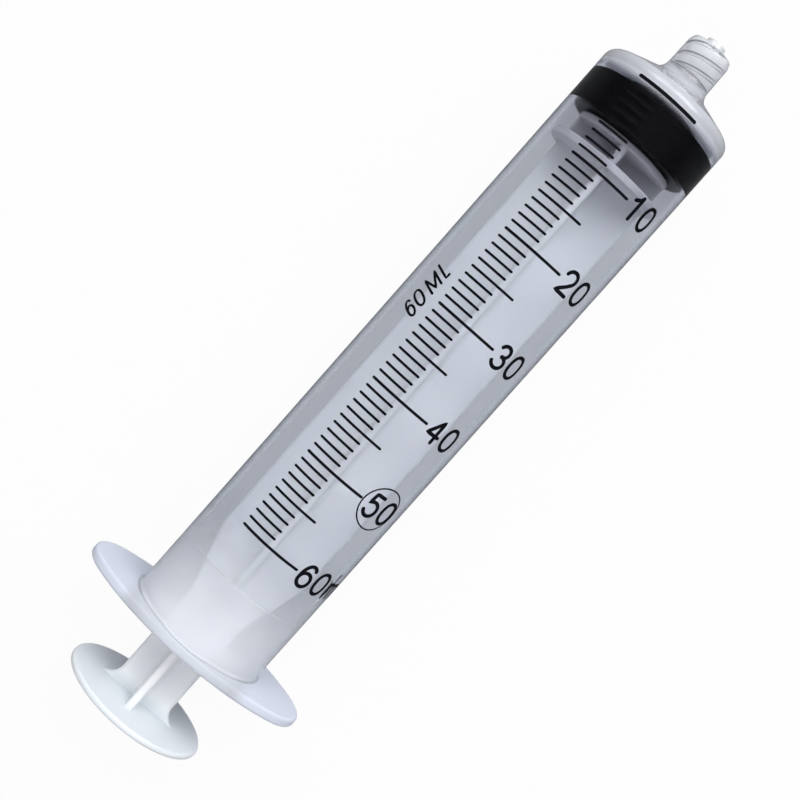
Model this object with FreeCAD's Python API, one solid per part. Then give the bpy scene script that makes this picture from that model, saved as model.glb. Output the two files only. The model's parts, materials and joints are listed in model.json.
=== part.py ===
import FreeCAD, Part
import os
from math import atan, cos, radians, sin, sqrt, tan

# A 60 ml luer lock syringe, lying on the side of its finger flange.
# Millimetres. X runs along the axis towards the tip, Z is up.
# The origin is on the axis, under the zero line of the scale.

V = FreeCAD.Vector
X_AXIS = V(1, 0, 0)
CENTRE = V(0, 0, 0)

# Barrel tube
bore_diameter = 26.6
barrel_wall = 1.3
zero_to_shoulder = 2.5
zero_to_rear_end = 134.3
mouth_break = 0.5

# Shoulder between the tube and the collar
shoulder_angle = 20.5
shoulder_wall = 2.2
shoulder_outer_round = 2.2

# Locking collar and tapered nozzle
collar_end_x = 14.7
collar_root_diameter = 9.6
collar_end_diameter = 9.3
collar_bore_diameter = 8.0
collar_bore_depth = 6.6
collar_root_round = 2.8
collar_end_bevel_length = 1.0
collar_end_bevel_depth = 0.4
nozzle_reach = 1.5
nozzle_end_diameter = 3.98
nozzle_taper = 0.06
lumen_diameter = 2.3

# Finger flange: an oval of two side arcs and two end arcs
flange_half_length = 25.75
flange_half_width = 15.7
flange_side_radius = 35.0
flange_thickness = 2.1
flange_edge_break = 0.5
flange_root_round = 1.0

# Bead inside the mouth, which stops the plunger from being drawn out
bead_height = 0.3
bead_width = 1.6
bead_crest_width = 0.5
bead_from_mouth = 2.6

# Rubber stopper
stopper_front_x = -1.5
stopper_length = 7.7
seal_clearance = 0.05
seal_width = 1.0
seal_spacing = 3.5
seal_flank = 0.3
groove_depth = 0.25
nose_base_step = 0.5
nose_flat_diameter = 5.0

# Snap head of the plunger rod and the pocket that it fills
neck_diameter = 7.6
neck_length = 2.6
head_diameter = 12.6
head_length = 3.0
head_lead_angle = 25.0
pocket_clearance = 0.05
head_end_gap = 0.3

# Plunger rod, with its gaps to the bore and its thumb disc's step inside the flange's width
press_disc_clearance = 2.7
press_disc_thickness = 1.4
press_disc_gap = 0.3
guide_disc_clearance = 0.6
guide_disc_thickness = 1.5
guide_disc_from_press_disc = 3.8
disc_edge_break = 0.3
rib_clearance = 2.9
rib_thickness = 1.7
rib_corner_round = 1.0
waist_half_width = 6.35
waist_end_x = -127.0
flare_angle = 16.0
thumb_disc_inside_flange = 0.15
thumb_disc_thickness = 1.4
thumb_disc_edge_break = 0.4
thumb_disc_rear_x = -151.8
gusset_reach = 3.0

# How far the cores run past an end that they cut open
core_overrun = 1.0

# Worked out from the sizes above
bore_radius = bore_diameter / 2
press_disc_diameter = bore_diameter - 2 * press_disc_clearance
guide_disc_diameter = bore_diameter - 2 * guide_disc_clearance
thumb_disc_diameter = 2 * (flange_half_width - thumb_disc_inside_flange)
rib_half_width = bore_radius - rib_clearance
outer_radius = bore_radius + barrel_wall
rear_x = -zero_to_rear_end
flange_front_x = rear_x + flange_thickness
shoulder_slope = tan(radians(shoulder_angle))
shoulder_axial_wall = shoulder_wall / cos(radians(shoulder_angle))
inner_corner_x = zero_to_shoulder + barrel_wall * shoulder_slope - shoulder_axial_wall
nozzle_end_x = collar_end_x + nozzle_reach
collar_floor_x = collar_end_x - collar_bore_depth
seal_radius = bore_radius - seal_clearance
groove_radius = seal_radius - groove_depth
stopper_rear_x = stopper_front_x - stopper_length
press_disc_front_x = stopper_rear_x - press_disc_gap
press_disc_rear_x = press_disc_front_x - press_disc_thickness
guide_disc_front_x = press_disc_rear_x - guide_disc_from_press_disc
guide_disc_rear_x = guide_disc_front_x - guide_disc_thickness
neck_end_x = press_disc_front_x + neck_length
head_end_x = neck_end_x + head_length
thumb_disc_front_x = thumb_disc_rear_x + thumb_disc_thickness


def shoulder_x(radius, axial_wall=0.0):
    """Place along the axis of the shoulder's cone at a radius."""
    return zero_to_shoulder + (outer_radius - radius) * shoulder_slope - axial_wall


def half_section(points):
    """Flat face from (x, radius) points that run round one half section."""
    corners = [V(x, 0, radius) for x, radius in points]
    return Part.Face(Part.makePolygon(corners + corners[:1]))


def turned(points):
    """Solid of revolution about the syringe's axis."""
    solid = half_section(points).revolve(CENTRE, X_AXIS, 360)
    return Part.makeSolid(solid) if solid.ShapeType == "Shell" else solid


def ring_edges(solid, x, radius, reach=0.02):
    """Circular edges of a solid round the axis at one place and radius."""
    found = []
    for edge in solid.Edges:
        if edge.Curve.TypeId != "Part::GeomCircle":
            continue
        centre = edge.Curve.Center
        on_axis = sqrt(centre.y ** 2 + centre.z ** 2) < reach
        if on_axis and abs(centre.x - x) < reach and abs(edge.Curve.Radius - radius) < reach:
            found.append(edge)
    return found


def rounded(solid, x, radius, size):
    """Solid with one ring edge rounded."""
    return solid.makeFillet(size, ring_edges(solid, x, radius))


def eased(solid, x, radius, size):
    """Solid with one ring edge broken by a narrow bevel."""
    return solid.makeChamfer(size, ring_edges(solid, x, radius))


def disc(x_rear, x_front, diameter, edge_break):
    """Flat disc across the axis with both rims bevelled."""
    radius = diameter / 2
    blank = turned([(x_rear, 0), (x_front, 0), (x_front, radius), (x_rear, radius)])
    return eased(eased(blank, x_rear, radius, edge_break), x_front, radius, edge_break)


def flange_outline():
    """Closed oval wire across the axis, at the rear face of the flange."""
    side_centre = flange_side_radius - flange_half_width
    end_radius = (
        (flange_side_radius ** 2 - flange_half_length ** 2 - side_centre ** 2)
        / (2 * (flange_side_radius - flange_half_length))
    )
    end_centre = flange_half_length - end_radius
    lean = atan(side_centre / end_centre)
    join_y = end_centre + end_radius * cos(lean)
    join_z = end_radius * sin(lean)

    def at(y, z):
        return V(rear_x, y, z)

    arcs = [
        Part.Arc(at(join_y, join_z), at(0, flange_half_width), at(-join_y, join_z)),
        Part.Arc(at(-join_y, join_z), at(-flange_half_length, 0), at(-join_y, -join_z)),
        Part.Arc(at(-join_y, -join_z), at(0, -flange_half_width), at(join_y, -join_z)),
        Part.Arc(at(join_y, -join_z), at(flange_half_length, 0), at(join_y, join_z)),
    ]
    return Part.Wire([arc.toShape() for arc in arcs])


def flange():
    """Oval finger flange with its rim bevelled on both faces."""
    plate = Part.Face(flange_outline()).extrude(X_AXIS * flange_thickness)
    rim = [edge for edge in plate.Edges if abs(edge.BoundBox.XLength) < 0.01]
    return plate.makeChamfer(flange_edge_break, rim)


def barrel_outside():
    """Tube, shoulder and collar as one turned blank."""
    root = collar_root_diameter / 2
    end = collar_end_diameter / 2
    nozzle = nozzle_end_diameter / 2
    blank = turned([
        (rear_x, 0),
        (rear_x, outer_radius),
        (zero_to_shoulder, outer_radius),
        (shoulder_x(root), root),
        (collar_end_x - collar_end_bevel_length, end),
        (collar_end_x, end - collar_end_bevel_depth),
        (collar_end_x, nozzle + nozzle_reach * nozzle_taper / 2),
        (nozzle_end_x, nozzle),
        (nozzle_end_x, 0),
    ])
    blank = rounded(blank, zero_to_shoulder, outer_radius, shoulder_outer_round)
    return rounded(blank, shoulder_x(root), root, collar_root_round)


def barrel_hollow():
    """Bore, shoulder cone and lumen as one turned core."""
    lumen = lumen_diameter / 2
    return turned([
        (rear_x - core_overrun, 0),
        (rear_x - core_overrun, bore_radius),
        (inner_corner_x, bore_radius),
        (shoulder_x(lumen, shoulder_axial_wall), lumen),
        (nozzle_end_x + core_overrun, lumen),
        (nozzle_end_x + core_overrun, 0),
    ])


def collar_hollow():
    """Ring-shaped gap between the collar and the nozzle."""
    outer = collar_bore_diameter / 2
    end = nozzle_end_diameter / 2
    floor = end + (nozzle_end_x - collar_floor_x) * nozzle_taper / 2
    return turned([
        (collar_floor_x, floor),
        (collar_floor_x, outer),
        (nozzle_end_x + core_overrun, outer),
        (nozzle_end_x + core_overrun, end - core_overrun * nozzle_taper / 2),
    ])


def stop_bead():
    """Low ring inside the mouth of the bore, with sloping sides."""
    middle = rear_x + bead_from_mouth
    backing = bore_radius + barrel_wall / 2
    return turned([
        (middle - bead_width / 2, bore_radius),
        (middle - bead_crest_width / 2, bore_radius - bead_height),
        (middle + bead_crest_width / 2, bore_radius - bead_height),
        (middle + bead_width / 2, bore_radius),
        (middle + bead_width / 2, backing),
        (middle - bead_width / 2, backing),
    ])


def barrel():
    """Clear moulding: tube, flange, shoulder, collar and nozzle in one."""
    body = barrel_outside().fuse(flange()).removeSplitter()
    body = rounded(body, flange_front_x, outer_radius, flange_root_round)
    body = body.cut(barrel_hollow()).cut(collar_hollow())
    body = eased(body, rear_x, bore_radius, mouth_break)
    return body.fuse(stop_bead()).removeSplitter()


def rubber_stopper():
    """Rubber plug with two sealing rings, a conical nose and a snap pocket."""
    first_rear = stopper_front_x - seal_width
    second_front = stopper_front_x - seal_spacing
    second_rear = second_front - seal_width
    nose_base = seal_radius - nose_base_step
    nose_flat = nose_flat_diameter / 2
    nose_tip_x = stopper_front_x + (nose_base - nose_flat) * shoulder_slope
    plug = turned([
        (stopper_rear_x, 0),
        (stopper_rear_x, groove_radius),
        (second_rear - seal_flank, groove_radius),
        (second_rear, seal_radius),
        (second_front, seal_radius),
        (second_front + seal_flank, groove_radius),
        (first_rear - seal_flank, groove_radius),
        (first_rear, seal_radius),
        (stopper_front_x, seal_radius),
        (stopper_front_x, nose_base),
        (nose_tip_x, nose_flat),
        (nose_tip_x, 0),
    ])
    return plug.cut(snap_pocket())


def snap_profile(clearance, end_gap):
    """Half section of the neck and head, let out by a clearance."""
    neck = neck_diameter / 2 + clearance
    head = head_diameter / 2 + clearance
    tip = head_diameter / 2 - head_length * tan(radians(head_lead_angle)) + clearance
    return [
        (press_disc_front_x, 0),
        (press_disc_front_x, neck),
        (neck_end_x - clearance, neck),
        (neck_end_x - clearance, head),
        (head_end_x + end_gap, tip),
        (head_end_x + end_gap, 0),
    ]


def snap_pocket():
    """Hollow in the stopper's rear that takes the neck and head."""
    return turned(snap_profile(pocket_clearance, head_end_gap))


def rib_outline():
    """Side outline of one pair of opposite ribs, in the plane of the axis."""
    flare_length = (rib_half_width - waist_half_width) / tan(radians(flare_angle))
    half = [
        (thumb_disc_front_x - thumb_disc_thickness / 2, waist_half_width + gusset_reach),
        (thumb_disc_front_x, waist_half_width + gusset_reach),
        (thumb_disc_front_x + gusset_reach, waist_half_width),
        (waist_end_x, waist_half_width),
        (waist_end_x + flare_length, rib_half_width),
        (press_disc_rear_x + press_disc_thickness / 2, rib_half_width),
    ]
    return half + [(x, -width) for x, width in reversed(half)]


def rib_pair(turn):
    """Two opposite ribs as one blade, turned about the axis."""
    corners = [V(x, width, -rib_thickness / 2) for x, width in rib_outline()]
    blade = Part.Face(Part.makePolygon(corners + corners[:1]))
    blade = blade.extrude(V(0, 0, rib_thickness))
    blade.rotate(CENTRE, X_AXIS, turn)
    return blade


def plunger_rod():
    """White moulding: thumb disc, crossed ribs, discs and snap head in one."""
    cross = rib_pair(0).fuse(rib_pair(90)).removeSplitter()
    cross = cross.makeFillet(rib_corner_round, inner_corners(cross))
    rod = cross.fuse([
        disc(thumb_disc_rear_x, thumb_disc_front_x, thumb_disc_diameter, thumb_disc_edge_break),
        disc(guide_disc_rear_x, guide_disc_front_x, guide_disc_diameter, disc_edge_break),
        disc(press_disc_rear_x, press_disc_front_x, press_disc_diameter, disc_edge_break),
        turned(snap_profile(0.0, 0.0)),
    ])
    return rod.removeSplitter()


def inner_corners(cross):
    """Lengthwise edges where two crossed ribs meet."""
    reach = rib_thickness / 2
    found = []
    for edge in cross.Edges:
        box = edge.BoundBox
        beside = abs(abs(box.Center.y) - reach) < 0.01 and abs(abs(box.Center.z) - reach) < 0.01
        if beside and box.YLength < 0.01 and box.ZLength < 0.01:
            found.append(edge)
    return found


def main():
    os.makedirs("parts", exist_ok=True)
    pieces = {
        "barrel": barrel(),
        "plunger_rod": plunger_rod(),
        "rubber_stopper": rubber_stopper(),
    }
    for name, shape in pieces.items():
        shape.exportStep(os.path.join("parts", name + ".step"))
        print(name, shape.isValid(), len(shape.Solids), round(shape.Volume, 1))


main()
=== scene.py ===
import json
from math import acos, atan2, ceil, cos, hypot, pi, radians, sin, sqrt, tan

import bpy
import numpy as np
from mathutils import Matrix, Vector


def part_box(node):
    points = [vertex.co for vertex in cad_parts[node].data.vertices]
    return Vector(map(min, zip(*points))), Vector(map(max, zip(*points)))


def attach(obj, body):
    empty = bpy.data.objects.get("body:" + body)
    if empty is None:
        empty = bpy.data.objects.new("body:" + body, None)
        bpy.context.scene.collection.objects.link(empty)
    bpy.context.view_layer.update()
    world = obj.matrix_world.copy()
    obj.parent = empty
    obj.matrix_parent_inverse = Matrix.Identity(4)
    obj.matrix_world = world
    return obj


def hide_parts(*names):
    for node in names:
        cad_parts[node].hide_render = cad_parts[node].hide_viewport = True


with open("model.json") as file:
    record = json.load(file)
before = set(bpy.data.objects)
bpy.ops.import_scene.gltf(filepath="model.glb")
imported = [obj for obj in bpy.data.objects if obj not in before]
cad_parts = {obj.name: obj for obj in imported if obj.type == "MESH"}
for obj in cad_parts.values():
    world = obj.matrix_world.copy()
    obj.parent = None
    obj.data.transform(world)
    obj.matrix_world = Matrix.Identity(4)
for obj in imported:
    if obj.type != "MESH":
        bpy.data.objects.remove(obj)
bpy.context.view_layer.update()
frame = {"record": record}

# A large clear syringe lying on the side of its finger flange.
# Everything is in metres. X runs along the axis towards the tip and Z is up.
# Along the print, a place is given by x and by the arc round from the top line.

MM = 0.001

# Flat steps in the arc of each rounded edge
ROUND_STEPS = 5

barrel_low, barrel_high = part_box("barrel")
stopper_low, stopper_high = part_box("rubber_stopper")
rod_low, rod_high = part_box("plunger_rod")


def mount_radius(name):
    """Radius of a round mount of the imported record, in metres."""
    mounts = {mount["name"]: mount for mount in frame["record"]["mounts"]}
    return mounts[name]["dims"]["r_mm"] * MM


# Barrel: tube, shoulder, collar, nozzle, flange and the stop bead inside the mouth
OUTER_RADIUS = mount_radius("barrel_outside")
LUMEN_RADIUS = mount_radius("luer_lumen")
WALL = 1.3 * MM
BORE_RADIUS = OUTER_RADIUS - WALL
REAR_X = barrel_low.x
NOZZLE_END_X = barrel_high.x
SHOULDER_START_X = 2.5 * MM
SHOULDER_ANGLE = radians(20.5)
SHOULDER_SLOPE = tan(SHOULDER_ANGLE)
SHOULDER_WALL = 2.2 * MM / cos(SHOULDER_ANGLE)
SHOULDER_ROUND = 2.2 * MM
COLLAR_END_X = NOZZLE_END_X - 1.5 * MM
COLLAR_FLOOR_X = COLLAR_END_X - 6.6 * MM
COLLAR_BORE_RADIUS = 4.0 * MM
COLLAR_ROOT_RADIUS = 4.8 * MM
COLLAR_END_RADIUS = 4.65 * MM
COLLAR_END_BEVEL = (1.0 * MM, 0.4 * MM)
COLLAR_ROOT_ROUND = 2.8 * MM
COLLAR_MOUTH_ROUND = 0.08 * MM
COLLAR_END_ROUND = 0.12 * MM
COLLAR_BEVEL_ROUND = 1.2 * MM
NOZZLE_END_RADIUS = 1.99 * MM
NOZZLE_MOUTH_ROUND = 0.15 * MM
NOZZLE_SLOPE = 0.03
FLANGE_THICKNESS = 2.1 * MM
FLANGE_FRONT_X = REAR_X + FLANGE_THICKNESS
FLANGE_HALF_LENGTH = barrel_high.y
FLANGE_HALF_WIDTH = barrel_high.z
FLANGE_SIDE_RADIUS = 35.0 * MM
FLANGE_RIM_ROUND = 0.65 * MM
FLANGE_ROOT_ROUND = 1.0 * MM
MOUTH_ROUND = 0.5 * MM
BEAD_FROM_MOUTH = 2.6 * MM
BEAD_WIDTH = 1.6 * MM
BEAD_HEIGHT = 0.3 * MM
BEAD_TOP_ROUND = 0.2 * MM
BORE_END_ROUND = 0.4 * MM
EDGE_ROUND = 0.3 * MM
BARREL_SEGMENTS = 288

# Two-start thread inside the collar; margins and fades are given for its inner and its open end
THREAD_LEAD = 5.0 * MM
THREAD_STARTS = 2
THREAD_HEIGHT = 0.42 * MM
THREAD_CREST = 0.35 * MM
THREAD_BASE = 0.95 * MM
THREAD_PHASE = 0.37 * MM
THREAD_STATIONS = 66
THREAD_MARGINS = (0.31 * MM, 0.21 * MM)
THREAD_FADES = (0.6 * MM, 0.8 * MM)

# Rubber stopper
LIP_RADIUS = BORE_RADIUS + 0.012 * MM
GROOVE_RADIUS = BORE_RADIUS + 0.005 * MM
LIP_WIDTH = 1.0 * MM
LIP_SPACING = 3.5 * MM
LIP_FLANK = 0.3 * MM
LIP_ROUND = 0.3 * MM
SKIRT_ROUND = 0.5 * MM
NOSE_BASE_STEP = 0.5 * MM
NOSE_BASE_ROUND = 0.15 * MM
NOSE_FLAT_RADIUS = 2.5 * MM
NOSE_ROUND = 1.5 * MM
POCKET_ROUND = 0.2 * MM
POCKET_MOUTH_ROUND = 0.3 * MM
STOPPER_SEGMENTS = 192

# Plunger rod
NECK_RADIUS = 3.8 * MM
NECK_LENGTH = 2.6 * MM
NECK_END_ROUND = 0.15 * MM
HEAD_RADIUS = 6.3 * MM
HEAD_LENGTH = 3.0 * MM
HEAD_TIP_RADIUS = HEAD_RADIUS - HEAD_LENGTH * tan(radians(25.0))
HEAD_RIM_ROUND = 0.3 * MM
HEAD_TIP_ROUND = 0.4 * MM
POCKET_CLEARANCE = 0.05 * MM
POCKET_END_GAP = 0.3 * MM
PRESS_DISC_FRONT_X = stopper_low.x - 0.3 * MM
PRESS_DISC_THICKNESS = 1.4 * MM
PRESS_DISC_RADIUS = 10.6 * MM
GUIDE_DISC_REAR_X = PRESS_DISC_FRONT_X - 6.7 * MM
GUIDE_DISC_THICKNESS = 1.5 * MM
GUIDE_DISC_RADIUS = 12.7 * MM
INNER_DISC_ROUND = 0.35 * MM
RIB_THICKNESS = 1.7 * MM
RIB_TIP_ROUND = 0.7 * MM
RIB_CORNER_ROUND = 1.0 * MM
RIB_HALF_WIDTH = 10.4 * MM
WAIST_HALF_WIDTH = 6.35 * MM
WAIST_END_X = -127.0 * MM
FLARE_SLOPE = tan(radians(16.0))
FLARE_BEND = 2.5 * MM
THUMB_DISC_RADIUS = rod_high.z
THUMB_DISC_ROUND = 0.6 * MM
THUMB_DISC_THICKNESS = 1.4 * MM
THUMB_DISC_FRONT_X = rod_low.x + THUMB_DISC_THICKNESS
GUSSET_REACH = 3.0 * MM
ROD_SEGMENTS = 192

# Print on the outside of the barrel
MILLILITRE = 1.7995 * MM
SCALE_END = 60
TICK_START = -6.85 * MM
TICK_END_MINOR = 0.0
TICK_END_MIDDLE = 3.5 * MM
TICK_END_MAJOR = 7.0 * MM
TICK_WIDTH = 0.49 * MM
MAJOR_TICK_WIDTH = 0.55 * MM
ZERO_TICK_WIDTH = 0.68 * MM
INK_SUNK = 0.004 * MM
INK_PROUD = 0.022 * MM
INK_STEP = 0.45 * MM
NUMBER_HEIGHT = 5.4 * MM
NUMBER_STROKE = 0.76 * MM
FIRST_DIGIT = (7.5 * MM, 11.1 * MM)
SECOND_DIGIT = (11.7 * MM, 15.4 * MM)
UNIT_LETTERS = (("m", 16.3 * MM, 20.6 * MM), ("l", 21.2 * MM, 22.6 * MM))

# One of the numbers is ringed and stands a little further round
RINGED_NUMBER = 50
RINGED_SHIFT = 0.7 * MM
RING_ARC = 11.75 * MM
RING_RADIUS = 4.55 * MM
RING_STROKE = 0.3 * MM

# Capacity mark, slanted and on the other side of the scale; its letters' ends are in millimetres
CAPACITY_LETTERS = (
    ("6", -59.7, -57.75),
    ("0", -57.3, -55.05),
    ("M", -53.9, -50.9),
    ("L", -50.1, -48.7),
)
CAPACITY_STROKE = 0.5 * MM
CAPACITY_BOTTOM = -8.8 * MM
CAPACITY_TOP = -12.9 * MM
CAPACITY_SLANT = tan(radians(13.5))

# Middle range of a noise, over which roughness and tint are spread
NOISE_LOW = 0.3
NOISE_HIGH = 0.7

# Tint of the clear plastic at its thick places, with painted shade near the stopper and on the
# thread's flanks and painted light at the mouth, in the order they are laid on
CLEAR_TINTS = (
    # Painted shade: the wall turns greyer towards the rubber stopper, which keeps the light off the
    # inside
    ("wall_shade", (0.84, 0.84, 0.87)),
    # Milky veil towards the mouth that also paints in the light coming in at the open end
    ("mouth", (0.93, 0.95, 1.0)),
    ("plate", (0.88, 0.91, 0.97)),
    ("wings", (0.77, 0.81, 0.92)),
    ("shoulder", (0.90, 0.925, 0.99)),
    ("collar", (0.98, 0.99, 1.0)),
    # Painted shade: dark flanks of the thread inside the collar
    ("flank", (0.17, 0.19, 0.26)),
)

# Share of its clearness that is lost there; less than nought where it is kept clear after all
CLEAR_DROPS = (
    ("mouth", 0.6),
    ("plate", 0.5),
    ("wings", 0.3),
    ("shoulder", 0.5),
    ("collar", -0.32),
    ("inner", 0.4),
)

# Weight of the gloss coat on the shoulder
SHOULDER_COAT = 0.9

# Ranges along the axis over which the moulded plastic changes its look or takes painted shade and
# light
# Painted shade on the wall near the rubber stopper, which keeps the light from the tip side off
SHADED_WALL = (-20 * MM, -11 * MM)
# Painted shade on the rod as it nears the rubber stopper, which shades it
SHADED_ROD = (-26 * MM, -9 * MM)
CLOUDED_SHOULDER = (-1.4 * MM, 0.6 * MM)
CLEARED_COLLAR = (5.5 * MM, 8.0 * MM)
# Milky veil with painted light for the light that comes in at the open mouth
CLOUDED_AND_LIT_MOUTH = (REAR_X + 30 * MM, REAR_X)
# Painted shade: the thumb disc is greyed for the shade it lies in
SHADED_THUMB_DISC = (THUMB_DISC_FRONT_X + 3 * MM, THUMB_DISC_FRONT_X)

# Distances from the axis over which it changes
PLATE_EDGE = (OUTER_RADIUS, OUTER_RADIUS + 0.8 * MM)
TUBE_EDGE = (OUTER_RADIUS + 0.5 * MM, OUTER_RADIUS)
WING_SPAN = (12.5 * MM, 16.0 * MM)
COLLAR_INSIDE = (COLLAR_BORE_RADIUS + 0.3 * MM, COLLAR_BORE_RADIUS)
THREAD_CREST_RADIUS = COLLAR_BORE_RADIUS - THREAD_HEIGHT
THREAD_CREST_EDGE = (THREAD_CREST_RADIUS, THREAD_CREST_RADIUS + 0.1 * MM)
THREAD_ROOT_EDGE = (COLLAR_BORE_RADIUS, COLLAR_BORE_RADIUS - 0.1 * MM)

# Share of the floor's look that is plain white, seen straight and through the clear plastic,
# and how much of the floor is lost where it is mirrored in the plastic
FLOOR_GLOW = 0.95
FLOOR_GLOW_THROUGH = 0.36
FLOOR_DIM_MIRRORED = 0.7

# Reach of the floor each way, and the small gap left under the syringe
FLOOR_HALF_SIZE = 1.5
FLOOR_GAP = 0.02 * MM

# Lamps: name, place and watts, all aimed at one point
LAMP_TARGET = (-0.07, 0, 0)
LAMP_SIZE = (0.7, 0.6)
LAMPS = (
    ("tip_panel", (0.72, -0.35, 0.66), 5.2),
    ("rear_panel", (-0.86, -0.38, 0.66), 0.7),
    ("tip_fill", (0.72, 0.42, 0.66), 2.6),
    ("rear_fill", (-0.86, 0.42, 0.66), 0.5),
)

# Room light: level low down, what is added overhead, what is added high up beyond the tip
# and the rear's share of that, with the directions over which it rises
ROOM_LOW = 0.10
ROOM_CEILING = 0.22
ROOM_ENDS = 2.5
ROOM_REAR_SHARE = 0.45
ROOM_COLOUR = (1.0, 1.0, 1.015, 1)
CEILING_RISE = (0.3, 0.75)
TIP_RISE = (0.34, 0.44)
REAR_RISE = (-0.34, -0.44)

# Camera, as the photograph was taken, and the photograph's frame
CAMERA_PLACE = (-53.083 * MM, -5.313 * MM, 272.420 * MM)
CAMERA_RIGHT = (0.661814, -0.746973, -0.063511)
CAMERA_UP = (0.746143, 0.66454, -0.040718)
CAMERA_FORWARD = (-0.072621, 0.02044, -0.99715)
CAMERA_LENS = 64.37
CAMERA_SENSOR = 36.0


def plain_mesh_object(name, vertices, faces):
    """Mesh object in the scene with nothing set on it."""
    mesh = bpy.data.meshes.new(name)
    mesh.from_pydata([tuple(v) for v in vertices], [], faces)
    mesh.validate()
    piece = bpy.data.objects.new(name, mesh)
    bpy.context.scene.collection.objects.link(piece)
    return piece


def make_object(name, vertices, faces, material, body, smooth_angle=None):
    """Smooth-shaded mesh object that rides on a body."""
    piece = plain_mesh_object(name, vertices, faces)
    mesh = piece.data
    mesh.polygons.foreach_set("use_smooth", [True] * len(mesh.polygons))
    if smooth_angle is not None:
        mesh.set_sharp_from_angle(angle=smooth_angle)
    mesh.materials.append(material)
    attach(piece, body)
    return piece


def weight_normals(piece):
    """Let large faces set the shading next to narrow rounds."""
    modifier = piece.modifiers.new("weighted_normals", "WEIGHTED_NORMAL")
    modifier.keep_sharp = True
    modifier.weight = 60


def rounded_profile(corners):
    """Outline of (x, r) points from (x, r, round) corners; a corner with a round becomes an arc."""
    points = []
    count = len(corners)
    for index, (x, r, size) in enumerate(corners):
        if size <= 0:
            points.append((x, r))
            continue
        before = corners[(index - 1) % count]
        after = corners[(index + 1) % count]
        to_before = (before[0] - x, before[1] - r)
        to_after = (after[0] - x, after[1] - r)
        length_before = hypot(*to_before)
        length_after = hypot(*to_after)
        ub = (to_before[0] / length_before, to_before[1] / length_before)
        ua = (to_after[0] / length_after, to_after[1] / length_after)
        cosine = max(-1.0, min(1.0, ub[0] * ua[0] + ub[1] * ua[1]))
        inside = acos(cosine)
        reach = size / tan(inside / 2)
        start = (x + ub[0] * reach, r + ub[1] * reach)
        middle = (ub[0] + ua[0], ub[1] + ua[1])
        middle_length = hypot(*middle)
        away = size / sin(inside / 2)
        centre = (x + middle[0] / middle_length * away, r + middle[1] / middle_length * away)
        first = atan2(start[1] - centre[1], start[0] - centre[0])
        cross = ub[0] * ua[1] - ub[1] * ua[0]
        turn = (pi - inside) * (1 if cross < 0 else -1)
        for step in range(ROUND_STEPS + 1):
            angle = first + turn * step / ROUND_STEPS
            points.append((centre[0] + size * cos(angle), centre[1] + size * sin(angle)))
    return points


def ring_faces(rings, segments, wrap_rings):
    """Quads between neighbouring rings of points."""
    faces = []
    last = rings if wrap_rings else rings - 1
    for i in range(last):
        j = (i + 1) % rings
        for k in range(segments):
            m = (k + 1) % segments
            low, high = i * segments, j * segments
            faces.append((low + k, low + m, high + m, high + k))
    return faces


def turned(profile, segments):
    """Vertices and faces of a solid turned about X from a profile with both ends on the axis."""
    rings = profile[1:-1]
    vertices = []
    for x, r in rings:
        for k in range(segments):
            angle = 2 * pi * k / segments
            vertices.append((x, r * cos(angle), r * sin(angle)))
    faces = ring_faces(len(rings), segments, False)
    first_pole = len(vertices)
    vertices.append((profile[0][0], 0.0, 0.0))
    last_pole = len(vertices)
    vertices.append((profile[-1][0], 0.0, 0.0))
    base = (len(rings) - 1) * segments
    for k in range(segments):
        m = (k + 1) % segments
        faces.append((first_pole, m, k))
        faces.append((last_pole, base + k, base + m))
    return vertices, faces


def oval_radius(angle):
    """Distance from the axis to the flange's oval outline at an angle from Y."""
    side_centre = FLANGE_SIDE_RADIUS - FLANGE_HALF_WIDTH
    end_radius = (
        (FLANGE_SIDE_RADIUS ** 2 - FLANGE_HALF_LENGTH ** 2 - side_centre ** 2)
        / (2 * (FLANGE_SIDE_RADIUS - FLANGE_HALF_LENGTH))
    )
    end_centre = FLANGE_HALF_LENGTH - end_radius
    join_y = end_centre + end_radius * end_centre / hypot(end_centre, side_centre)
    join_z = end_radius * side_centre / hypot(end_centre, side_centre)
    cy, cz = abs(cos(angle)), abs(sin(angle))
    if atan2(cz, cy) < atan2(join_z, join_y):
        along = cy * end_centre
        return along + sqrt(along ** 2 - end_centre ** 2 + end_radius ** 2)
    along = -cz * side_centre
    return along + sqrt(along ** 2 - side_centre ** 2 + FLANGE_SIDE_RADIUS ** 2)


def shoulder_x(radius, wall=0.0):
    """Place along the axis of the shoulder's cone at a radius."""
    return SHOULDER_START_X + (OUTER_RADIUS - radius) * SHOULDER_SLOPE - wall


def thread_ridge(x, angle):
    """Height of the thread above the collar's bore at a place."""
    pitch = THREAD_LEAD / THREAD_STARTS
    turn = (x - THREAD_PHASE - THREAD_LEAD * angle / (2 * pi)) / pitch
    off = abs(turn - round(turn)) * pitch
    flank = (THREAD_BASE - THREAD_CREST) / 2
    height = min(1.0, max(0.0, (THREAD_BASE / 2 - off) / flank))
    ends = min((x - COLLAR_FLOOR_X) / THREAD_FADES[0], (COLLAR_END_X - x) / THREAD_FADES[1])
    fade = min(1.0, max(0.0, ends))
    return THREAD_HEIGHT * height * height * (3 - 2 * height) * fade


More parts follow.
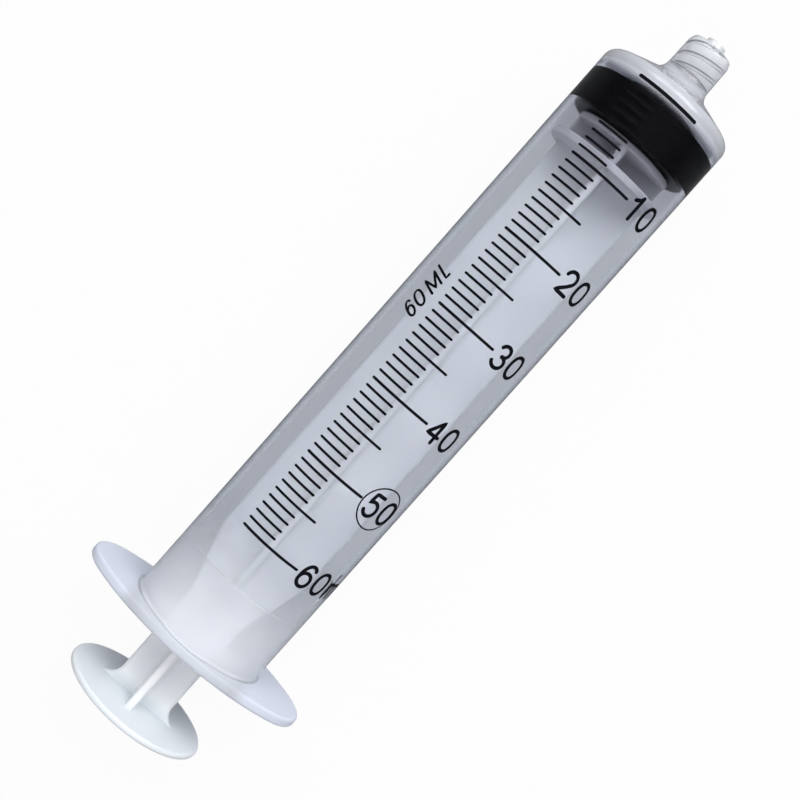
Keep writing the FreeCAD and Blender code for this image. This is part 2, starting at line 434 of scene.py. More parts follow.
def barrel_profile(angle):
    """Section of the barrel at one angle, as a closed loop of (x, r) points."""
    oval = oval_radius(angle)
    root_room = (oval - OUTER_RADIUS - FLANGE_RIM_ROUND) * 0.95
    root_round = min(FLANGE_ROOT_ROUND, root_room)
    nozzle_root = NOZZLE_END_RADIUS + (NOZZLE_END_X - COLLAR_FLOOR_X) * NOZZLE_SLOPE
    bead_middle = REAR_X + BEAD_FROM_MOUTH
    bead_top = BORE_RADIUS - BEAD_HEIGHT
    section = rounded_profile([
        (shoulder_x(LUMEN_RADIUS, SHOULDER_WALL), LUMEN_RADIUS, EDGE_ROUND),
        (NOZZLE_END_X, LUMEN_RADIUS, NOZZLE_MOUTH_ROUND),
        (NOZZLE_END_X, NOZZLE_END_RADIUS, EDGE_ROUND),
        (COLLAR_FLOOR_X, nozzle_root, EDGE_ROUND),
        (COLLAR_FLOOR_X, COLLAR_BORE_RADIUS, EDGE_ROUND),
        (COLLAR_END_X, COLLAR_BORE_RADIUS, COLLAR_MOUTH_ROUND),
        (COLLAR_END_X, COLLAR_END_RADIUS - COLLAR_END_BEVEL[1], COLLAR_END_ROUND),
        (COLLAR_END_X - COLLAR_END_BEVEL[0], COLLAR_END_RADIUS, COLLAR_BEVEL_ROUND),
        (shoulder_x(COLLAR_ROOT_RADIUS), COLLAR_ROOT_RADIUS, COLLAR_ROOT_ROUND),
        (SHOULDER_START_X, OUTER_RADIUS, SHOULDER_ROUND),
        (FLANGE_FRONT_X, OUTER_RADIUS, root_round),
        (FLANGE_FRONT_X, oval, FLANGE_RIM_ROUND),
        (REAR_X, oval, FLANGE_RIM_ROUND),
        (REAR_X, BORE_RADIUS, MOUTH_ROUND),
        (bead_middle - BEAD_WIDTH / 2, BORE_RADIUS, EDGE_ROUND),
        (bead_middle - BEAD_WIDTH / 6, bead_top, BEAD_TOP_ROUND),
        (bead_middle + BEAD_WIDTH / 6, bead_top, BEAD_TOP_ROUND),
        (bead_middle + BEAD_WIDTH / 2, BORE_RADIUS, EDGE_ROUND),
        (shoulder_x(BORE_RADIUS, SHOULDER_WALL), BORE_RADIUS, BORE_END_ROUND),
    ])
    return with_thread(section, angle)[::-1]


def with_thread(profile, angle):
    """Profile with stations added along the collar's bore, raised where the thread passes."""
    start = COLLAR_FLOOR_X + THREAD_MARGINS[0]
    end = COLLAR_END_X - THREAD_MARGINS[1]
    points = []
    for index, (x, r) in enumerate(profile):
        points.append((x, r))
        after = profile[(index + 1) % len(profile)]
        off_bore = max(abs(r - COLLAR_BORE_RADIUS), abs(after[1] - COLLAR_BORE_RADIUS))
        if off_bore < 1e-7 and after[0] - x > 3 * MM:
            for step in range(THREAD_STATIONS):
                station = start + (end - start) * step / (THREAD_STATIONS - 1)
                points.append((station, COLLAR_BORE_RADIUS - thread_ridge(station, angle)))
    return points


def make_barrel(material):
    """The clear moulding as one closed skin, which the lumen runs through."""
    angles = [2 * pi * k / BARREL_SEGMENTS for k in range(BARREL_SEGMENTS)]
    sections = np.array([barrel_profile(angle) for angle in angles])
    across = np.stack([np.cos(angles), np.sin(angles)], axis=1)
    x = sections[:, :, 0].T
    y = sections[:, :, 1].T * across[:, 0]
    z = sections[:, :, 1].T * across[:, 1]
    vertices = np.stack([x, y, z], axis=2).reshape(-1, 3)
    faces = ring_faces(x.shape[0], BARREL_SEGMENTS, True)
    piece = make_object("barrel_moulding", vertices, faces, material, "barrel")
    weight_normals(piece)
    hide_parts("barrel")


def make_stopper(material):
    """Rubber stopper with rounded lips, a grooved skirt, a conical nose and the snap pocket."""
    nose_base = stopper_high.z - NOSE_BASE_STEP
    front_x = stopper_high.x - (nose_base - NOSE_FLAT_RADIUS) * SHOULDER_SLOPE
    neck = NECK_RADIUS + POCKET_CLEARANCE
    head = HEAD_RADIUS + POCKET_CLEARANCE
    head_start = PRESS_DISC_FRONT_X + NECK_LENGTH - POCKET_CLEARANCE
    head_end = PRESS_DISC_FRONT_X + NECK_LENGTH + HEAD_LENGTH + POCKET_END_GAP
    corners = [
        (head_end, 0.0, 0),
        (head_end, HEAD_TIP_RADIUS, POCKET_ROUND),
        (head_start, head, POCKET_ROUND),
        (head_start, neck, POCKET_ROUND),
        (stopper_low.x, neck, POCKET_MOUTH_ROUND),
        (stopper_low.x, GROOVE_RADIUS, SKIRT_ROUND),
    ]
    for back in (LIP_SPACING, 0.0):
        corners += [
            (front_x - back - LIP_WIDTH - LIP_FLANK, GROOVE_RADIUS, LIP_ROUND),
            (front_x - back - LIP_WIDTH, LIP_RADIUS, LIP_ROUND),
            (front_x - back, LIP_RADIUS, LIP_ROUND * 0.7),
        ]
        if back:
            corners.append((front_x - back + LIP_FLANK, GROOVE_RADIUS, LIP_ROUND))
    corners += [
        (front_x, nose_base, NOSE_BASE_ROUND),
        (stopper_high.x, NOSE_FLAT_RADIUS, NOSE_ROUND),
        (stopper_high.x, 0.0, 0),
    ]
    vertices, faces = turned(rounded_profile(corners), STOPPER_SEGMENTS)
    piece = make_object("stopper_rubber", vertices, faces, material, "stopper")
    weight_normals(piece)
    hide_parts("rubber_stopper")


def cross_section(width):
    """Outline of the crossed ribs at one place, as (y, z) points round the axis."""
    half_thickness = RIB_THICKNESS / 2
    tip, corner = RIB_TIP_ROUND, RIB_CORNER_ROUND
    turns = [pi / 2 * step / ROUND_STEPS for step in range(ROUND_STEPS + 1)]
    quarter = [
        (width - tip + tip * cos(angle), half_thickness - tip + tip * sin(angle))
        for angle in turns
    ]
    far_tip = [(z, y) for y, z in reversed(quarter)]
    inner = half_thickness + corner
    for turn in turns:
        angle = -pi / 2 - turn
        quarter.append((inner + corner * cos(angle), inner + corner * sin(angle)))
    quarter += far_tip
    outline = []
    for turn in range(4):
        c, s = round(cos(pi / 2 * turn)), round(sin(pi / 2 * turn))
        outline += [(c * y - s * z, s * y + c * z) for y, z in quarter]
    return outline


def rib_stations():
    """Places along the rod with the ribs' half width there."""
    flare_end_x = WAIST_END_X + (RIB_HALF_WIDTH - WAIST_HALF_WIDTH) / FLARE_SLOPE
    bend = FLARE_BEND
    offsets = [bend * step / 4 for step in range(-4, 5)]
    stations = [(THUMB_DISC_FRONT_X - THUMB_DISC_THICKNESS / 2, WAIST_HALF_WIDTH + GUSSET_REACH)]
    for step in range(9):
        angle = pi / 2 * step / 8
        x = THUMB_DISC_FRONT_X + GUSSET_REACH * (1 - cos(angle))
        stations.append((x, WAIST_HALF_WIDTH + GUSSET_REACH * (1 - sin(angle))))
    for offset in offsets:
        rise = (offset + bend) ** 2 / (4 * bend) * FLARE_SLOPE
        stations.append((WAIST_END_X + offset, WAIST_HALF_WIDTH + rise))
    for offset in offsets:
        drop = (bend - offset) ** 2 / (4 * bend) * FLARE_SLOPE
        stations.append((flare_end_x + offset, RIB_HALF_WIDTH - drop))
    stations.append((PRESS_DISC_FRONT_X - PRESS_DISC_THICKNESS / 2, RIB_HALF_WIDTH))
    return stations


def make_ribs():
    """Vertices and faces of the four crossed ribs as one closed loft."""
    vertices = []
    stations = rib_stations()
    for x, width in stations:
        vertices += [(x, y, z) for y, z in cross_section(width)]
    segments = len(vertices) // len(stations)
    faces = ring_faces(len(stations), segments, False)
    faces.append(tuple(range(segments - 1, -1, -1)))
    base = (len(stations) - 1) * segments
    faces.append(tuple(range(base, base + segments)))
    return vertices, faces


def disc_profile(rear_x, front_x, radius, edge_round):
    """Profile of a flat disc with rounded rims."""
    return rounded_profile([
        (rear_x, 0.0, 0),
        (rear_x, radius, edge_round),
        (front_x, radius, edge_round),
        (front_x, 0.0, 0),
    ])


def head_profile():
    """Profile of the snap neck and head."""
    root_x = PRESS_DISC_FRONT_X - PRESS_DISC_THICKNESS / 2
    head_x = PRESS_DISC_FRONT_X + NECK_LENGTH
    return rounded_profile([
        (root_x, 0.0, 0),
        (root_x, NECK_RADIUS, 0),
        (head_x, NECK_RADIUS, NECK_END_ROUND),
        (head_x, HEAD_RADIUS, HEAD_RIM_ROUND),
        (head_x + HEAD_LENGTH, HEAD_TIP_RADIUS, HEAD_TIP_ROUND),
        (head_x + HEAD_LENGTH, 0.0, 0),
    ])


def make_rod(material):
    """The white moulding: ribs, three discs and the snap head joined into one skin."""
    press_rear_x = PRESS_DISC_FRONT_X - PRESS_DISC_THICKNESS
    guide_front_x = GUIDE_DISC_REAR_X + GUIDE_DISC_THICKNESS
    ribs = plain_mesh_object("ribs", *make_ribs())
    additions = [
        disc_profile(rod_low.x, THUMB_DISC_FRONT_X, THUMB_DISC_RADIUS, THUMB_DISC_ROUND),
        disc_profile(GUIDE_DISC_REAR_X, guide_front_x, GUIDE_DISC_RADIUS, INNER_DISC_ROUND),
        disc_profile(press_rear_x, PRESS_DISC_FRONT_X, PRESS_DISC_RADIUS, INNER_DISC_ROUND),
        head_profile(),
    ]
    ingredients = []
    for number, profile in enumerate(additions):
        part = plain_mesh_object(f"turned_{number}", *turned(profile, ROD_SEGMENTS))
        ingredients.append(part)
        union = ribs.modifiers.new(f"join_{number}", "BOOLEAN")
        union.operation = "UNION"
        union.solver = "EXACT"
        union.object = part
    bpy.context.view_layer.update()
    graph = bpy.context.evaluated_depsgraph_get()
    mesh = bpy.data.meshes.new_from_object(ribs.evaluated_get(graph))
    for part in ingredients + [ribs]:
        bpy.data.objects.remove(part)
    mesh.name = "rod_moulding"
    mesh.polygons.foreach_set("use_smooth", [True] * len(mesh.polygons))
    mesh.set_sharp_from_angle(angle=radians(35))
    mesh.materials.clear()
    mesh.materials.append(material)
    piece = bpy.data.objects.new("rod_moulding", mesh)
    bpy.context.scene.collection.objects.link(piece)
    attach(piece, "plunger")
    weight_normals(piece)
    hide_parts("plunger_rod")


def on_barrel(x, arc, radius):
    """Point on the barrel at a place along the axis and an arc round from the top line."""
    angle = arc / OUTER_RADIUS
    return (x, -radius * sin(angle), radius * cos(angle))


def spaced(path, step, closed):
    """Path with points added so that none lie more than a step apart."""
    points = []
    count = len(path) if closed else len(path) - 1
    for index in range(count):
        x0, a0 = path[index]
        x1, a1 = path[(index + 1) % len(path)]
        parts = max(1, ceil(hypot(x1 - x0, a1 - a0) / step))
        for part in range(parts):
            share = part / parts
            points.append((x0 + (x1 - x0) * share, a0 + (a1 - a0) * share))
    if not closed:
        points.append(path[-1])
    return points


def stroke_stations(path, width, closed):
    """Middle, sideways direction and half width at each station of one inked stroke."""
    half = width / 2
    points = spaced(path, INK_STEP, closed)
    count = len(points)
    stations = []
    for index, (x, a) in enumerate(points):
        before = points[index - 1] if closed or index else points[0]
        after = points[(index + 1) % count] if closed or index < count - 1 else points[-1]
        dx, da = after[0] - before[0], after[1] - before[1]
        length = hypot(dx, da)
        stations.append((x, a, dx / length, da / length, half))
    if closed:
        return stations
    cap_angles = (75, 50, 25)
    first, last = stations[0], stations[-1]
    head = []
    for degrees in cap_angles:
        back = half * sin(radians(degrees))
        head.append((
            first[0] - first[2] * back, first[1] - first[3] * back,
            first[2], first[3], half * cos(radians(degrees)),
        ))
    tail = []
    for degrees in reversed(cap_angles):
        ahead = half * sin(radians(degrees))
        tail.append((
            last[0] + last[2] * ahead, last[1] + last[3] * ahead,
            last[2], last[3], half * cos(radians(degrees)),
        ))
    return head + stations + tail


def ink_mesh(strokes):
    """Vertices and faces of thin closed ribbons of ink laid on the barrel."""
    vertices, faces = [], []
    low, high = OUTER_RADIUS - INK_SUNK, OUTER_RADIUS + INK_PROUD
    for path, width, closed in strokes:
        stations = stroke_stations(path, width, closed)
        base = len(vertices)
        for x, a, dx, da, half in stations:
            for side, radius in ((-1, low), (-1, high), (1, high), (1, low)):
                vertices.append(on_barrel(x - da * half * side, a + dx * half * side, radius))
        count = len(stations)
        for face in ring_faces(count, 4, closed):
            faces.append(tuple(base + index for index in face))
        if not closed:
            faces.append((base + 3, base + 2, base + 1, base))
            end = base + (count - 1) * 4
            faces.append((end, end + 1, end + 2, end + 3))
    return vertices, faces


def arc_points(cu, cv, ru, rv, start, end, steps=16, power=2.0):
    """Points of an elliptic or squarer arc in a glyph's unit box, from one angle to another."""
    points = []
    for step in range(steps + 1):
        angle = radians(start + (end - start) * step / steps)
        c, s = cos(angle), sin(angle)
        u = cu + ru * abs(c) ** (2 / power) * (1 if c >= 0 else -1)
        v = cv + rv * abs(s) ** (2 / power) * (1 if s >= 0 else -1)
        points.append((u, v))
    return points


def glyph_strokes(letter):
    """Strokes of a plain letter in a unit box, each with a mark that says if it is closed."""
    if letter == "0":
        return [(arc_points(0.5, 0.5, 0.5, 0.5, 0, 350, 35, 2.3), True)]
    if letter == "1":
        flag = [(0.62, 1.0), (0.5, 0.86), (0.16, 0.74)]
        return [([(0.62, 0.0), (0.62, 1.0)], False), (flag, False)]
    if letter == "2":
        top = arc_points(0.5, 0.71, 0.47, 0.29, 168, -35, 16)
        return [(top + [(0.62, 0.36), (0.2, 0.13), (0.0, 0.0), (1.0, 0.0)], False)]
    if letter == "3":
        upper = arc_points(0.47, 0.755, 0.42, 0.245, 160, -90, 16)
        lower = arc_points(0.47, 0.265, 0.5, 0.265, 90, -160, 18)
        return [(upper, False), (lower, False)]
    if letter == "4":
        return [([(0.74, 0.0), (0.74, 1.0), (0.0, 0.3), (1.0, 0.3)], False)]
    if letter == "5":
        bowl = arc_points(0.48, 0.33, 0.5, 0.335, 138, -155, 20)
        return [([(0.9, 1.0), (0.2, 1.0)] + bowl, False)]
    if letter == "6":
        bowl = arc_points(0.5, 0.315, 0.48, 0.315, 0, 350, 30)
        back = arc_points(0.54, 0.42, 0.52, 0.58, 190, 92, 14)
        back += arc_points(0.54, 0.78, 0.38, 0.22, 85, 22, 6)
        return [(bowl, True), (back, False)]
    if letter == "M":
        return [([(0.0, 0.0), (0.0, 1.0), (0.5, 0.06), (1.0, 1.0), (1.0, 0.0)], False)]
    if letter == "L":
        return [([(0.0, 1.0), (0.0, 0.0), (1.0, 0.0)], False)]
    if letter == "m":
        first_arch = arc_points(0.25, 0.48, 0.25, 0.22, 175, 0, 10) + [(0.5, 0.0)]
        second_arch = arc_points(0.75, 0.48, 0.25, 0.22, 175, 0, 10) + [(1.0, 0.0)]
        return [([(0.0, 0.0), (0.0, 0.7)], False), (first_arch, False), (second_arch, False)]
    return [([(0.5, 0.0), (0.5, 1.0)], False)]


def number_strokes():
    """Strokes of the scale's numbers, upright with the tip up, and the ring round one of them."""
    strokes = []
    half = NUMBER_STROKE / 2
    for number in range(10, SCALE_END + 1, 10):
        middle = -MILLILITRE * number
        shift = RINGED_SHIFT if number == RINGED_NUMBER else 0.0
        places = zip(str(number), (FIRST_DIGIT, SECOND_DIGIT))
        letters = [(letter, start + shift, end + shift) for letter, (start, end) in places]
        if number == SCALE_END:
            letters += UNIT_LETTERS
        for letter, start, end in letters:
            for path, closed in glyph_strokes(letter):
                placed = [
                    (
                        middle - NUMBER_HEIGHT / 2 + half + v * (NUMBER_HEIGHT - NUMBER_STROKE),
                        start + half + u * (end - start - NUMBER_STROKE),
                    )
                    for u, v in path
                ]
                strokes.append((placed, NUMBER_STROKE, closed))
    ring_x = -MILLILITRE * RINGED_NUMBER
    ring = arc_points(ring_x, RING_ARC, RING_RADIUS, RING_RADIUS, 0, 354, 59)
    strokes.append((ring, RING_STROKE, True))
    return strokes


def tick_strokes():
    """Strokes of the scale's lines, one for each millilitre."""
    strokes = []
    for mark in range(SCALE_END + 1):
        x = -MILLILITRE * mark
        if mark % 10 == 0:
            end, width = TICK_END_MAJOR, MAJOR_TICK_WIDTH
        elif mark % 5 == 0:
            end, width = TICK_END_MIDDLE, TICK_WIDTH
        else:
            end, width = TICK_END_MINOR, TICK_WIDTH
        if mark == 0:
            width = ZERO_TICK_WIDTH
        path = [(x, TICK_START + width / 2), (x, end - width / 2)]
        strokes.append((path, width, False))
    return strokes


def capacity_strokes():
    """Strokes of the slanted capacity mark, which reads towards the tip."""
    stroke = CAPACITY_STROKE
    bottom, top = CAPACITY_BOTTOM - stroke / 2, CAPACITY_TOP + stroke / 2
    strokes = []
    for letter, start, end in CAPACITY_LETTERS:
        for path, closed in glyph_strokes(letter):
            placed = []
            for u, v in path:
                lean = v * (bottom - top) * CAPACITY_SLANT
                x = start * MM + stroke / 2 + u * ((end - start) * MM - stroke) + lean
                placed.append((x, bottom + (top - bottom) * v))
            strokes.append((placed, stroke, closed))
    return strokes


def make_print(material):
    """Scale lines, numbers and capacity mark as thin ink on the barrel."""
    prints = (
        ("scale_lines", tick_strokes()),
        ("scale_numbers", number_strokes()),
        ("capacity_mark", capacity_strokes()),
    )
    for name, strokes in prints:
        make_object(name, *ink_mesh(strokes), material, "barrel", smooth_angle=radians(30))


def new_material(name):
    """Material with its principled shader and a mapped place in the row frame."""
    material = bpy.data.materials.new(name)
    material.use_nodes = True
    nodes = material.node_tree.nodes
    shader = nodes["Principled BSDF"]
    place = nodes.new("ShaderNodeTexCoord")
    return material, nodes, material.node_tree.links, shader, place.outputs["Object"]


def add_noise(nodes, links, place, scale, detail=3.0, roughness=0.5, stretch=(1, 1, 1)):
    """Noise over the piece, in waves to the metre, stretched along the axes."""
    mapping = nodes.new("ShaderNodeMapping")
    mapping.inputs["Scale"].default_value = stretch
    noise = nodes.new("ShaderNodeTexNoise")
    noise.inputs["Scale"].default_value = scale
    noise.inputs["Detail"].default_value = detail
    noise.inputs["Roughness"].default_value = roughness
    links.new(place, mapping.inputs["Vector"])
    links.new(mapping.outputs["Vector"], noise.inputs["Vector"])
    return noise.outputs["Fac"]


def add_range(nodes, links, value, low, high):
    """Number that runs between two numbers as a noise goes through its middle range."""
    node = nodes.new("ShaderNodeMapRange")
    node.inputs["From Min"].default_value = NOISE_LOW
    node.inputs["From Max"].default_value = NOISE_HIGH
    node.inputs["To Min"].default_value = low
    node.inputs["To Max"].default_value = high
    links.new(value, node.inputs["Value"])
    return node.outputs["Result"]


def add_tint(nodes, links, value, first, second):
    """Colour that runs between two colours as a noise goes through its middle range."""
    ramp = nodes.new("ShaderNodeValToRGB")
    ramp.color_ramp.elements[0].position = NOISE_LOW
    ramp.color_ramp.elements[0].color = (*first, 1)
    ramp.color_ramp.elements[1].position = NOISE_HIGH
    ramp.color_ramp.elements[1].color = (*second, 1)
    links.new(value, ramp.inputs["Fac"])
    return ramp.outputs["Color"]


def add_math(nodes, links, operation, first, second):
    """Result of one step of arithmetic on a value and another value or number."""
    node = nodes.new("ShaderNodeMath")
    node.operation = operation
    links.new(first, node.inputs[0])
    if isinstance(second, float):
        node.inputs[1].default_value = second
    else:
        links.new(second, node.inputs[1])
    return node.outputs[0]


def add_bump(nodes, links, value, distance):
    """Bump of a real height in metres from a value."""
    bump = nodes.new("ShaderNodeBump")
    bump.inputs["Strength"].default_value = 1.0
    bump.inputs["Distance"].default_value = distance
    links.new(value, bump.inputs["Height"])
    return bump.outputs["Normal"]


def clear_plastic():
    """Clear moulded plastic with a faint violet cast and the slight waviness of a moulding, with
    painted shade near the stopper and on the thread's flanks and painted light at the mouth.
    """
    material, nodes, links, shader, place = new_material("clear_polypropylene")
    flow = add_noise(nodes, links, place, 60, 2, 0.5, (0.35, 1, 1))
    grain = add_noise(nodes, links, place, 900, 3)
    tint = add_tint(nodes, links, flow, (0.955, 0.965, 0.985), (0.985, 0.99, 1.0))
    shares = thick_places(nodes, links, place)
    for name, colour in CLEAR_TINTS:
        tint = add_mix(nodes, links, shares[name], tint, colour)
    drops = [(shares[name], amount) for name, amount in CLEAR_DROPS]
    clearness = add_level(nodes, links, 1.0, drops)
    coat = add_math(nodes, links, "MULTIPLY", shares["shoulder"], SHOULDER_COAT)
    links.new(coat, shader.inputs["Coat Weight"])
    shader.inputs["Coat Roughness"].default_value = 0.06
    shader.inputs["Coat IOR"].default_value = 1.45
    links.new(tint, shader.inputs["Base Color"])
    links.new(add_range(nodes, links, grain, 0.09, 0.14), shader.inputs["Roughness"])
    links.new(add_bump(nodes, links, flow, 0.02 * MM), shader.inputs["Normal"])
    links.new(clearness, shader.inputs["Transmission Weight"])
    shader.inputs["IOR"].default_value = 1.15
    inside = nodes.new("ShaderNodeVolumeAbsorption")
    inside.inputs["Color"].default_value = (0.54, 0.585, 0.665, 1)
    inside.inputs["Density"].default_value = 230.0
    links.new(inside.outputs["Volume"], nodes["Material Output"].inputs["Volume"])
    return material


def thick_places(nodes, links, place):
    """Shares, from nought to one, that say where the plastic is thick or cut, and where shade or
    light is painted on it.
    """
    split = nodes.new("ShaderNodeSeparateXYZ")
    links.new(place, split.inputs["Vector"])
    x, y = split.outputs["X"], split.outputs["Y"]
    flat = nodes.new("ShaderNodeCombineXYZ")
    links.new(y, flat.inputs["Y"])
    links.new(split.outputs["Z"], flat.inputs["Z"])
    length = nodes.new("ShaderNodeVectorMath")
    length.operation = "LENGTH"
    links.new(flat.outputs["Vector"], length.inputs[0])
    radius = length.outputs["Value"]
    beside = add_math(nodes, links, "ABSOLUTE", y, 0.0)
    plate = add_steps(nodes, links, radius, *PLATE_EDGE)
    wings = add_math(nodes, links, "MULTIPLY", plate, add_steps(nodes, links, beside, *WING_SPAN))
    # Painted shade on the wall near the rubber stopper
    wall_shade = add_steps(nodes, links, x, *SHADED_WALL)
    shoulder = add_steps(nodes, links, x, *CLOUDED_SHOULDER)
    collar = add_steps(nodes, links, x, *CLEARED_COLLAR)
    # Milky veil with painted light towards the open mouth
    mouth = add_steps(nodes, links, x, *CLOUDED_AND_LIT_MOUTH)
    tube = add_steps(nodes, links, radius, *TUBE_EDGE)
    mouth = add_math(nodes, links, "MULTIPLY", mouth, tube)
    # Painted shade on the thread's flanks inside the collar
    low = add_steps(nodes, links, radius, *THREAD_CREST_EDGE)
    high = add_steps(nodes, links, radius, *THREAD_ROOT_EDGE)
    flank = add_math(nodes, links, "MULTIPLY", low, high)
    flank = add_math(nodes, links, "MULTIPLY", flank, collar)
    inner = add_steps(nodes, links, radius, *COLLAR_INSIDE)
    inner = add_math(nodes, links, "MULTIPLY", inner, collar)
    return {
        "wall_shade": wall_shade,
        "plate": plate,
        "wings": wings,
        "shoulder": shoulder,
        "collar": collar,
        "mouth": mouth,
        "inner": inner,
        "flank": flank,
    }


def add_mix(nodes, links, share, first, second):
    """Colour that runs from a linked colour to a plain one with a share."""
    node = nodes.new("ShaderNodeMix")
    node.data_type = "RGBA"
    links.new(share, node.inputs["Factor"])
    links.new(first, node.inputs[6])
    node.inputs[7].default_value = (*second, 1)
    return node.outputs[2]


def add_level(nodes, links, start, drops):
    """Number that starts at a level and falls by an amount for each share."""
    total = None
    for share, amount in drops:
        drop = add_math(nodes, links, "MULTIPLY", share, -amount)
        total = drop if total is None else add_math(nodes, links, "ADD", total, drop)
    return add_math(nodes, links, "ADD", total, start)


def add_steps(nodes, links, value, start, end):
    """Value that eases from nought at one number to one at another."""
    node = nodes.new("ShaderNodeMapRange")
    node.interpolation_type = "SMOOTHSTEP"
    node.inputs["From Min"].default_value = start
    node.inputs["From Max"].default_value = end
    links.new(value, node.inputs["Value"])
    return node.outputs["Result"]


def white_plastic():
    """White moulded plastic with a satin surface, with painted shade on the thumb disc and near the
    rubber.
    """
    material, nodes, links, shader, place = new_material("white_moulding")
    flow = add_noise(nodes, links, place, 90, 3, 0.5, (0.3, 1, 1))
    grain = add_noise(nodes, links, place, 2600, 4)
    tint = add_tint(nodes, links, flow, (0.91, 0.93, 0.96), (0.95, 0.96, 0.975))
    split = nodes.new("ShaderNodeSeparateXYZ")
    links.new(place, split.inputs["Vector"])
    # Painted shade: the rod turns grey towards the rubber stopper
    rod_shade = add_steps(nodes, links, split.outputs["X"], *SHADED_ROD)
    tint = add_mix(nodes, links, rod_shade, tint, (0.64, 0.64, 0.67))
    # Painted shade on the thumb disc
    thumb = add_steps(nodes, links, split.outputs["X"], *SHADED_THUMB_DISC)
    tint = add_mix(nodes, links, thumb, tint, (0.73, 0.77, 0.80))
    links.new(tint, shader.inputs["Base Color"])
    links.new(add_range(nodes, links, grain, 0.42, 0.55), shader.inputs["Roughness"])
    links.new(add_bump(nodes, links, grain, 0.008 * MM), shader.inputs["Normal"])
    shader.inputs["Specular IOR Level"].default_value = 0.3
    shader.inputs["IOR"].default_value = 1.49
    shader.inputs["Subsurface Weight"].default_value = 0.25
    shader.inputs["Subsurface Radius"].default_value = (1.0, 0.9, 1.1)
    shader.inputs["Subsurface Scale"].default_value = 1.2 * MM
    return material


def black_rubber():
    """Smooth black rubber, wet with a little silicone."""
    material, nodes, links, shader, place = new_material("black_rubber")
    mottle = add_noise(nodes, links, place, 700, 3)
    grain = add_noise(nodes, links, place, 4000, 3)
    tint = add_tint(nodes, links, mottle, (0.003, 0.003, 0.004), (0.006, 0.006, 0.007))
    links.new(tint, shader.inputs["Base Color"])
    links.new(add_range(nodes, links, mottle, 0.34, 0.42), shader.inputs["Roughness"])
    links.new(add_bump(nodes, links, grain, 0.004 * MM), shader.inputs["Normal"])
    shader.inputs["IOR"].default_value = 1.5
    shader.inputs["Specular IOR Level"].default_value = 0.06
    return material


def black_ink():
    """Black screen-printing ink with a faintly uneven film."""
    material, nodes, links, shader, place = new_material("black_ink")
    film = add_noise(nodes, links, place, 1500, 3)
    tint = add_tint(nodes, links, film, (0.002, 0.002, 0.004), (0.006, 0.006, 0.009))
    links.new(tint, shader.inputs["Base Color"])
    links.new(add_range(nodes, links, film, 0.5, 0.7), shader.inputs["Roughness"])
    links.new(add_bump(nodes, links, film, 0.006 * MM), shader.inputs["Normal"])
    shader.inputs["Specular IOR Level"].default_value = 0.05
    return material


def make_floor():
    """Pale floor under the two places that the syringe rests on."""
    rear_x = (REAR_X + FLANGE_FRONT_X) / 2
    front_x = SHOULDER_START_X - SHOULDER_ROUND
    slope = (FLANGE_HALF_WIDTH - OUTER_RADIUS) / (front_x - rear_x)
    half = FLOOR_HALF_SIZE
    vertices = []
    for x, y in ((-half, -half), (half, -half), (half, half), (-half, half)):
        vertices.append((x, y, -OUTER_RADIUS + (x - front_x) * slope - FLOOR_GAP))
    floor = plain_mesh_object("floor", vertices, [(0, 1, 2, 3)])
    floor.data.materials.append(white_floor())


def white_floor():
    """White floor that shows as white where it is looked at and still takes a faint shadow."""
    material, nodes, links, shader, _ = new_material("white_floor")
    shader.inputs["Base Color"].default_value = (0.62, 0.62, 0.63, 1)
    shader.inputs["Roughness"].default_value = 0.9
    shader.inputs["Specular IOR Level"].default_value = 0.1
    glow = nodes.new("ShaderNodeEmission")
    path = nodes.new("ShaderNodeLightPath").outputs
    straight = add_math(nodes, links, "MULTIPLY", path["Is Camera Ray"], FLOOR_GLOW)
    through = add_math(nodes, links, "MULTIPLY", path["Is Transmission Ray"], FLOOR_GLOW_THROUGH)
    share = add_math(nodes, links, "MAXIMUM", straight, through)
    mix = nodes.new("ShaderNodeMixShader")
    links.new(share, mix.inputs["Fac"])
    links.new(shader.outputs["BSDF"], mix.inputs[1])
    links.new(glow.outputs["Emission"], mix.inputs[2])
    glossy, transmitted = path["Is Glossy Ray"], path["Is Transmission Ray"]
    mirrored = add_math(nodes, links, "SUBTRACT", glossy, transmitted)
    mirrored = add_math(nodes, links, "MULTIPLY", mirrored, FLOOR_DIM_MIRRORED)
    unlit = nodes.new("ShaderNodeEmission")
    unlit.inputs["Strength"].default_value = 0.0
    dim = nodes.new("ShaderNodeMixShader")
    links.new(mirrored, dim.inputs["Fac"])
    links.new(mix.outputs["Shader"], dim.inputs[1])
    links.new(unlit.outputs["Emission"], dim.inputs[2])
    links.new(dim.outputs["Shader"], nodes["Material Output"].inputs["Surface"])
    return material


def make_lamps():
    """Four soft panels beyond the two ends, all aimed at the middle of the syringe."""
    for name, place, watts in LAMPS:
        data = bpy.data.lights.new(name, "AREA")
        data.shape = "RECTANGLE"
        data.size, data.size_y = LAMP_SIZE
        data.energy = watts
        light = bpy.data.objects.new(name, data)
        light.location = place
        aim = Vector(LAMP_TARGET) - Vector(place)
        light.rotation_euler = aim.to_track_quat("-Z", "Y").to_euler()
        bpy.context.scene.collection.objects.link(light)


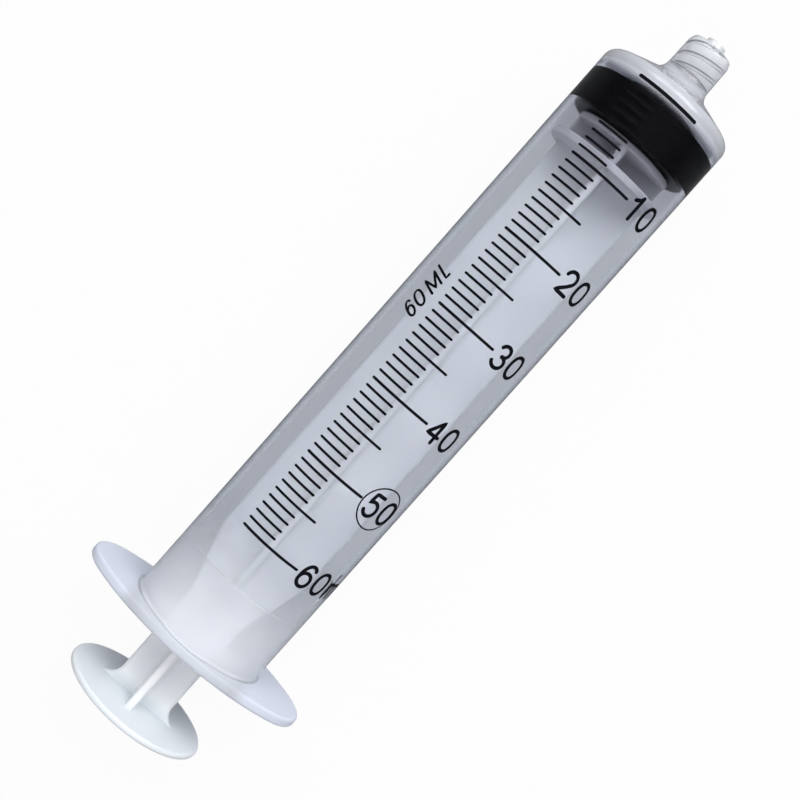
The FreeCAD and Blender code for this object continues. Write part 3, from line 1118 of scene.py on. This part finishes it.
def make_room():
    """Room light: pale overhead, dark low down and white where the camera looks at it."""
    world = bpy.data.worlds.new("studio")
    bpy.context.scene.world = world
    world.use_nodes = True
    nodes, links = world.node_tree.nodes, world.node_tree.links
    place = nodes.new("ShaderNodeTexCoord")
    split = nodes.new("ShaderNodeSeparateXYZ")
    links.new(place.outputs["Generated"], split.inputs["Vector"])
    high = add_steps(nodes, links, split.outputs["Z"], *CEILING_RISE)
    ceiling = add_math(nodes, links, "MULTIPLY", high, ROOM_CEILING)
    to_tip = add_steps(nodes, links, split.outputs["X"], *TIP_RISE)
    to_rear = add_steps(nodes, links, split.outputs["X"], *REAR_RISE)
    to_rear = add_math(nodes, links, "MULTIPLY", to_rear, ROOM_REAR_SHARE)
    ends = add_math(nodes, links, "ADD", to_tip, to_rear)
    panels = add_math(nodes, links, "MULTIPLY", high, ends)
    panels = add_math(nodes, links, "MULTIPLY", panels, ROOM_ENDS)
    level = add_math(nodes, links, "ADD", ceiling, panels)
    level = add_math(nodes, links, "ADD", level, ROOM_LOW)
    path = nodes.new("ShaderNodeLightPath")
    level = add_math(nodes, links, "MAXIMUM", level, path.outputs["Is Camera Ray"])
    nodes["Background"].inputs["Color"].default_value = ROOM_COLOUR
    links.new(level, nodes["Background"].inputs["Strength"])


def make_camera():
    """Camera at the photograph's place and angle."""
    data = bpy.data.cameras.new("camera")
    data.lens = CAMERA_LENS
    data.sensor_width = CAMERA_SENSOR
    data.sensor_fit = "HORIZONTAL"
    data.clip_start = 0.01
    data.clip_end = 20
    camera = bpy.data.objects.new("camera", data)
    axes = (CAMERA_RIGHT, CAMERA_UP, CAMERA_FORWARD)
    right, up, forward = (Vector(axis).normalized() for axis in axes)
    turn = Matrix((right, up, -forward)).transposed().to_4x4()
    camera.matrix_world = Matrix.Translation(CAMERA_PLACE) @ turn
    bpy.context.scene.collection.objects.link(camera)
    bpy.context.scene.camera = camera


make_barrel(clear_plastic())
make_stopper(black_rubber())
make_rod(white_plastic())
make_print(black_ink())
make_floor()
make_lamps()
make_room()
make_camera()
bpy.context.scene.view_settings.view_transform = "Standard"
